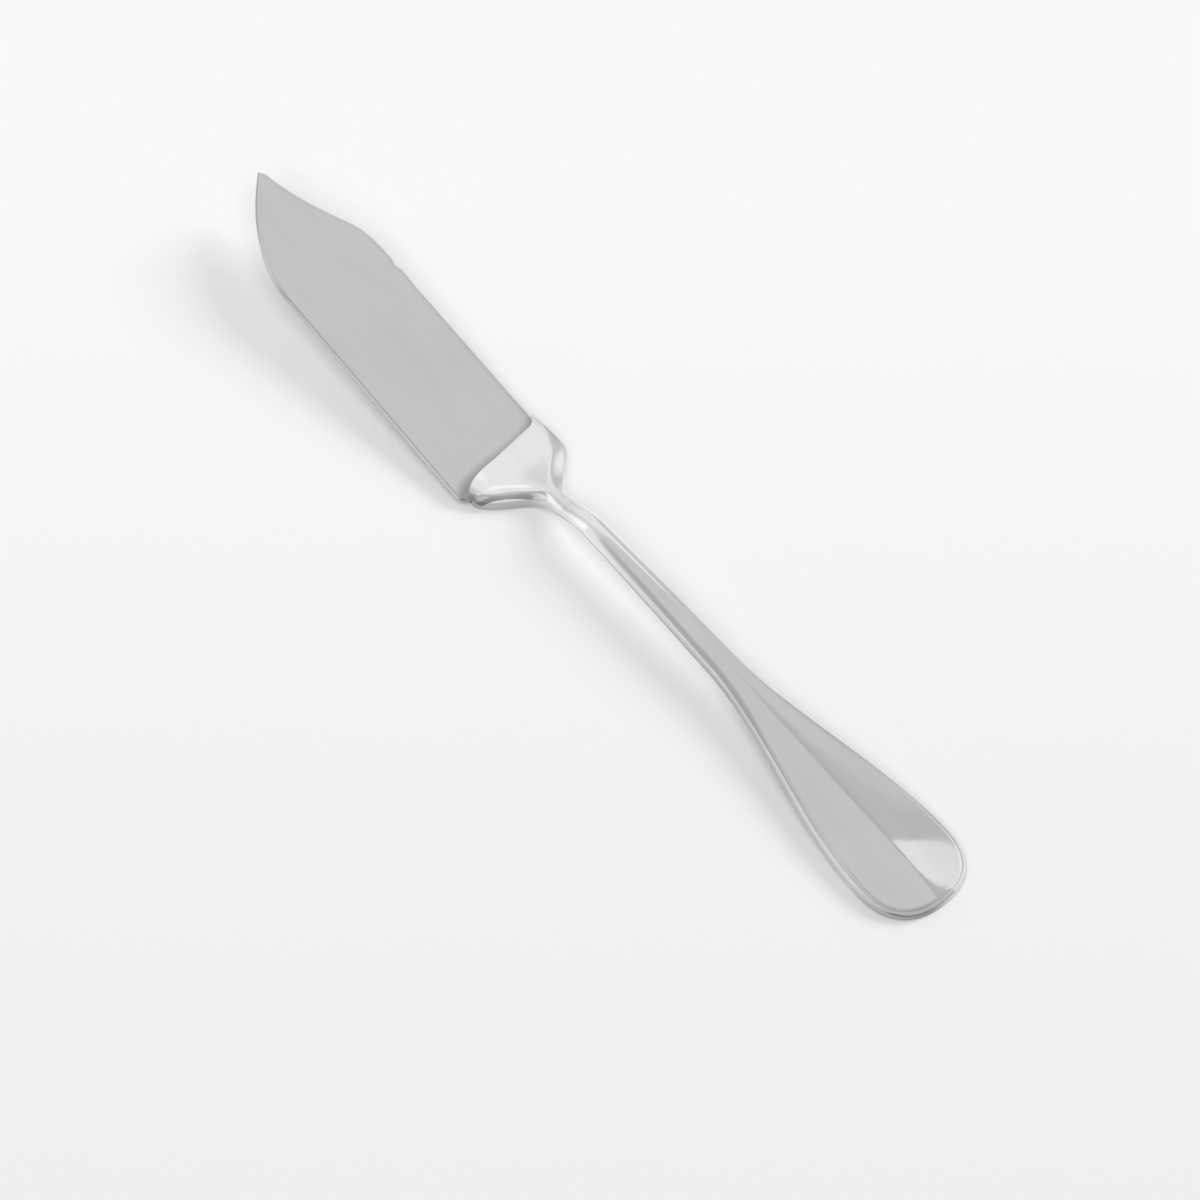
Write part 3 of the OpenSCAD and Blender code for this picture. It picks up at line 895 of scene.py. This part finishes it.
def finish_metal(sheet, colour, roughness, normal):
    """Metal with a colour, a roughness and a bumped surface."""
    shader = sheet.node("ShaderNodeBsdfPrincipled", {}, {
        "Base Color": colour, "Metallic": 1.0, "Roughness": roughness, "Normal": normal,
    })
    sheet.node("ShaderNodeOutputMaterial", {}, [shader.outputs[0]])


def silver(name, light, dark, roughness, scratch_turn):
    """Polished silver plate: hairline scratches both ways, a soft unevenness and a faint haze in patches.

    The tone is a sum of haze, streaks and hairlines, which goes from the light grey to the dark one, and the
    painted shade, with patina in the handle's groove, takes its share of that.
    """
    material, sheet, place = material_sheet(name)
    # The painted shade kept at each point, with patina in the handle's groove
    painted_shade_and_patina = sheet.num("ShaderNodeAttribute", {"attribute_name": "painted_shade_and_patina"}, {}, output="Fac")
    haze = sheet.noise(place, *HAZE)
    streaks = sheet.streaks(place, STREAK_TURN, *STREAKS)
    along = sheet.streaks(place, scratch_turn, *SCRATCHES).step(*SCRATCH_SPAN)
    crossing = sheet.streaks(place, scratch_turn + CROSS_TURN, *CROSS_SCRATCHES).step(*CROSS_SCRATCH_SPAN)
    hairlines = along + crossing
    tone = (haze.step(*HAZE_TONE_SPAN) * HAZE_TONE + streaks.step(*STREAK_SPAN) * STREAK_TONE
            + hairlines * SCRATCH_TONE)
    plate = sheet.grey_mix(tone, light, dark)
    # The painted shade darkens the colour
    colour = sheet.node("ShaderNodeVectorMath", {"operation": "SCALE"},
                        {"Vector": plate, "Scale": 1 - painted_shade_and_patina})
    rough = roughness + haze.step(*HAZE_ROUGHNESS_SPAN) * HAZE_ROUGHNESS + hairlines * SCRATCH_ROUGHNESS
    scratched = sheet.bump(hairlines, *SCRATCH_BUMP)
    waved = sheet.bump(sheet.noise(place, *WAVES), *WAVE_BUMP, Normal=scratched)
    finish_metal(sheet, colour.outputs[0], rough, waved)
    return material


def solder():
    """Dull grey solder with a grainy surface: one fine noise gives its grey, roughness and bumps."""
    material, sheet, place = material_sheet("solder")
    grain = sheet.noise(place, *GRAIN)
    colour = sheet.grey_mix(grain, *SOLDER_GREYS)
    finish_metal(sheet, colour, mix(*SOLDER_ROUGHNESS, grain), sheet.bump(grain, *GRAIN_BUMP))
    return material


def paint(piece, material):
    """Gives a piece one material."""
    piece.data.materials.clear()
    piece.data.materials.append(material)


# The studio

def spot(sheet, direction, aim, inner, outer):
    """1 within the inner angle round a direction, 0 past the outer one."""
    aim = tuple(Vector(aim).normalized())
    along = sheet.num("ShaderNodeVectorMath", {"operation": "DOT_PRODUCT"}, [direction, aim], output=1)
    return along.step(float(np.cos(np.radians(outer))), float(np.cos(np.radians(inner))))


def bend(value, corner, slope, length):
    """How far a border leans: nothing up to its corner, then more by a slope, over a length at most."""
    return (corner - value).held(0, length) * slope


def axes(sheet, place):
    """The X, Y and Z of a place or a direction."""
    split = sheet.node("ShaderNodeSeparateXYZ", {}, [place])
    return [Num(sheet, split.outputs[axis]) for axis in "XYZ"]


def room(sheet, direction):
    """Brightness of the grey room and the pale panels that the metal mirrors, for each direction.

    Each panel is a product of eased steps along X, Y and Z, times what it adds to the plain room. Ahead, at
    high X, is a pale wall with a leaning border, a white near corner, a dim strip, a lamp and a dusky place.
    A framed window with a sill is low down on the far side, at low Y. The near side is dim, then pale.
    The back, where the camera stands, the far side and the horizon cover the panels.
    """
    x, y, z = axes(sheet, direction)
    lean = bend(y, 0, WALL_LEAN, 1) + bend(y, WALL_CORNER_Y, WALL_CORNER_LEAN, WALL_CORNER_L)
    ahead = (x + lean).step(*WALL_AHEAD_X)
    white_corner = x.step(*WHITE_CORNER_X) * y.step(*WHITE_CORNER_Y)
    strip = ahead * y.step(*STRIP_START_Y) * (1 - y.step(*STRIP_END_Y))
    across = x + bend(y, WINDOW_CORNER_Y, WINDOW_CORNER_LEAN, WINDOW_CORNER_L)
    along = y - x.held(-1, 0) * WINDOW_SLANT
    window = (1 - across.step(*WINDOW_X)) * (1 - along.step(*WINDOW_Y))
    frame_edge = (1 - across.step(*FRAME_X)) * (1 - along.step(*FRAME_Y)) - window
    sill = frame_edge * along.step(*SILL_Y)
    near_dim = y.step(*NEAR_DIM_START_Y) * (1 - y.step(*NEAR_DIM_END_Y)) * (1 - ahead)
    near_pale = y.step(*NEAR_PALE_Y) * x.step(*NEAR_PALE_X) * (1 - ahead)
    glow = (ROOM + ahead * WALL_AHEAD + white_corner * WHITE_CORNER + strip * DIM_STRIP
            + window * WINDOW + frame_edge * WINDOW_FRAME + sill * WINDOW_SILL
            + near_dim * NEAR_DIM + near_pale * NEAR_PALE
            + spot(sheet, direction, *LAMP_SPOT) * LAMP + spot(sheet, direction, *DUSK_SPOT) * DUSK)
    back = (1 - x.step(*BACK_X)) * along.step(*BACK_Y)
    glow = mix(glow, mix(DIM_BACK, DARK_BACK, y.step(*DARK_BACK_Y)), back)
    glow = mix(glow, mix(FAR_SIDE, FAR_AHEAD, x.step(*FAR_AHEAD_X)), 1 - y.step(*FAR_SIDE_Y))
    low = (1 - z.step(*HORIZON_Z)) * (1 - back) * (1 - white_corner)
    return mix(glow, HORIZON, low)


def table_white(x, y):
    """The table's white, with a painted fall of light evenly along X and Y in metres, held between two
    limits.
    """
    return (FLOOR_WHITE + x * FLOOR_PAINTED_LIGHT_X + y * FLOOR_PAINTED_LIGHT_Y).held(*FLOOR_WHITE_RANGE)


def studio():
    """The world: soft light for the table, the room for mirrored rays, and a backdrop for the camera."""
    world = bpy.data.worlds.new("studio")
    bpy.context.scene.world = world
    world.use_nodes = True
    sheet = Sheet(world.node_tree)
    direction = sheet.node("ShaderNodeTexCoord", {}, {}).outputs["Generated"]

    def light(colour, strength=1.0):
        """A background light of one colour or of a pattern."""
        return sheet.node("ShaderNodeBackground", {}, {"Color": colour, "Strength": strength}).outputs[0]

    x, y, _ = axes(sheet, direction)
    far_edge = FLOOR_HALF * MM
    # The backdrop carries the table's painted fall of light
    backdrop = light(sheet.grey(table_white(x * far_edge, y * far_edge) * BACKDROP_SHARE))
    mirrored = light(sheet.grey(room(sheet, direction)))
    soft = light((1, 1, 1, 1), SOFT_LIGHT)
    path = sheet.node("ShaderNodeLightPath", {}, {}).outputs
    lit = sheet.node("ShaderNodeMixShader", {}, [path["Is Glossy Ray"], soft, mirrored])
    shown = sheet.node("ShaderNodeMixShader", {}, [path["Is Camera Ray"], lit.outputs[0], backdrop])
    sheet.node("ShaderNodeOutputWorld", {}, [shown.outputs[0]])


def sun(name, direction, angle, strength):
    """A soft far light that the metal doesn't mirror: the world's panels are there for that."""
    lamp = bpy.data.lights.new(name, "SUN")
    lamp.angle = angle
    lamp.energy = strength
    holder = bpy.data.objects.new(name, lamp)
    holder.rotation_euler = Vector(direction).to_track_quat("Z", "Y").to_euler()
    holder.visible_glossy = False
    bpy.context.scene.collection.objects.link(holder)


def table():
    """A plain pale table top: one square, just below the knife."""
    corners = np.array([(-1, -1), (1, -1), (1, 1), (-1, 1)], float) * FLOOR_HALF
    mesh = bpy.data.meshes.new("table")
    mesh.from_pydata(np.insert(corners, 2, -FLOOR_GAP, axis=1) * MM, [], [(0, 1, 2, 3)])
    top = bpy.data.objects.new("table", mesh)
    bpy.context.scene.collection.objects.link(top)
    material, sheet, place = material_sheet("table_white")
    x, y, _ = axes(sheet, place)
    shader = sheet.node("ShaderNodeBsdfPrincipled", {}, {
        # The table's colour carries a painted fall of light
        "Base Color": sheet.grey(table_white(x, y)),
        "Roughness": FLOOR_ROUGHNESS,
        "Specular IOR Level": FLOOR_SHINE,
    })
    sheet.node("ShaderNodeOutputMaterial", {}, [shader.outputs[0]])
    paint(top, material)


def camera():
    """The camera of the photo, aimed at a point of the knife."""
    view = bpy.data.cameras.new("camera")
    view.sensor_width = SENSOR_W
    view.lens = FOCAL_PIXELS / FRAME_PIXELS * SENSOR_W
    view.clip_end = CLIP_END
    holder = bpy.data.objects.new("camera", view)
    place = Vector(CAMERA_PLACE) * MM
    holder.location = place
    holder.rotation_euler = (Vector(CAMERA_TARGET) * MM - place).to_track_quat("-Z", "Y").to_euler()
    bpy.context.scene.collection.objects.link(holder)
    bpy.context.scene.camera = holder


bpy.context.scene.view_settings.view_transform = "Standard"
camera()
studio()
sun("key_light", KEY_DIRECTION, KEY_ANGLE, KEY_STRENGTH)
sun("fill_light", FILL_DIRECTION, FILL_ANGLE, FILL_STRENGTH)
table()

paint(handle(), silver("handle_polish", *HANDLE_POLISH))
paint(shoulder(), silver("shoulder_polish", *SHOULDER_POLISH))
paint(blade(), silver("blade_polish", *BLADE_POLISH))
solder_grey = solder()
for name in ("neck_seam_solder", "blade_seam_solder"):
    paint(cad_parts[name], solder_grey)
